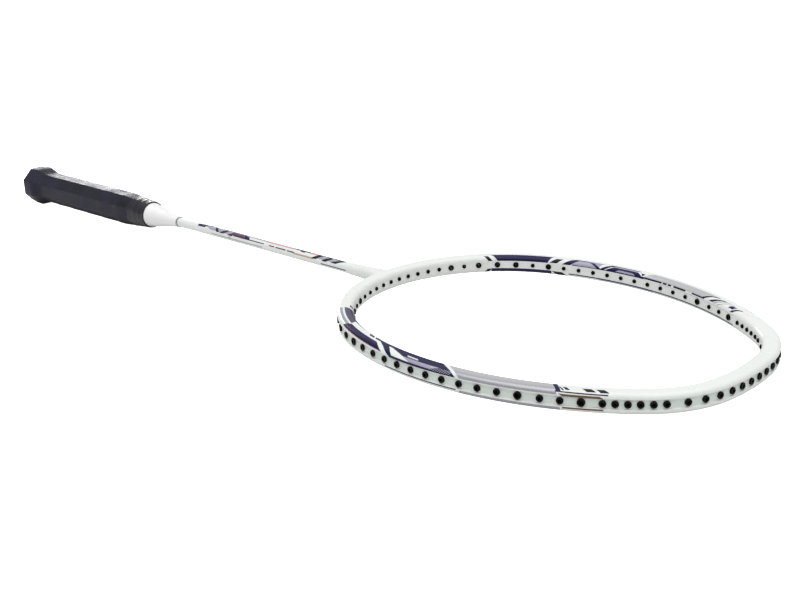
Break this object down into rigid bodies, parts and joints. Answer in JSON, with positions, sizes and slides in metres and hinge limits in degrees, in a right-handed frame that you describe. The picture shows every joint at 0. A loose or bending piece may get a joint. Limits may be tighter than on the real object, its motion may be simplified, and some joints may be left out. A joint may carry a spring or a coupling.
{
  "type": "badminton racket",
  "caption": "Unstrung badminton racket: grooved hollow oval head with grommets, slim round shaft, cone cap and flared octagonal wrapped handle.",
  "frame": {"origin": "centre of the flat end face of the butt cap", "axes": "+X runs along the shaft from the butt to the tip of the head, +Y is across the head to the racket's left, and +Z is square to the string plane, up"},
  "size_m": [0.6752, 0.199, 0.0306],
  "materials": {
    "frame_lacquer": "gloss lacquer on carbon fibre",
    "shaft_lacquer": "gloss lacquer on carbon fibre",
    "joint_lacquer": "gloss lacquer",
    "anchor_metal": "plain turned",
    "handle_wood": "bare light hardwood",
    "butt_plastic": "satin moulded",
    "grip_pu": "soft synthetic leather wrap",
    "tape_film": "glossy film tape",
    "cone_plastic": "gloss moulded",
    "ring_metal": "satin",
    "grommet_nylon": "moulded nylon"
  },
  "bodies": {
    "root": {"frame_hoop": "frame_lacquer", "t_joint": "joint_lacquer", "t_anchor": "anchor_metal", "shaft_tube": "shaft_lacquer", "handle_core": "handle_wood", "butt_cap": "butt_plastic", "grip_wrap": "grip_pu", "finishing_tape": "tape_film", "cone_cap": "cone_plastic", "cone_ring": "ring_metal", "grommets_tip_mains": "grommet_nylon", "grommets_throat_mains": "grommet_nylon", "grommets_corner_left": "grommet_nylon", "grommets_cross_left": "grommet_nylon", "grommets_shared_left": "grommet_nylon", "grommets_corner_right": "grommet_nylon", "grommets_cross_right": "grommet_nylon", "grommets_shared_right": "grommet_nylon"}
  },
  "joints": []
}
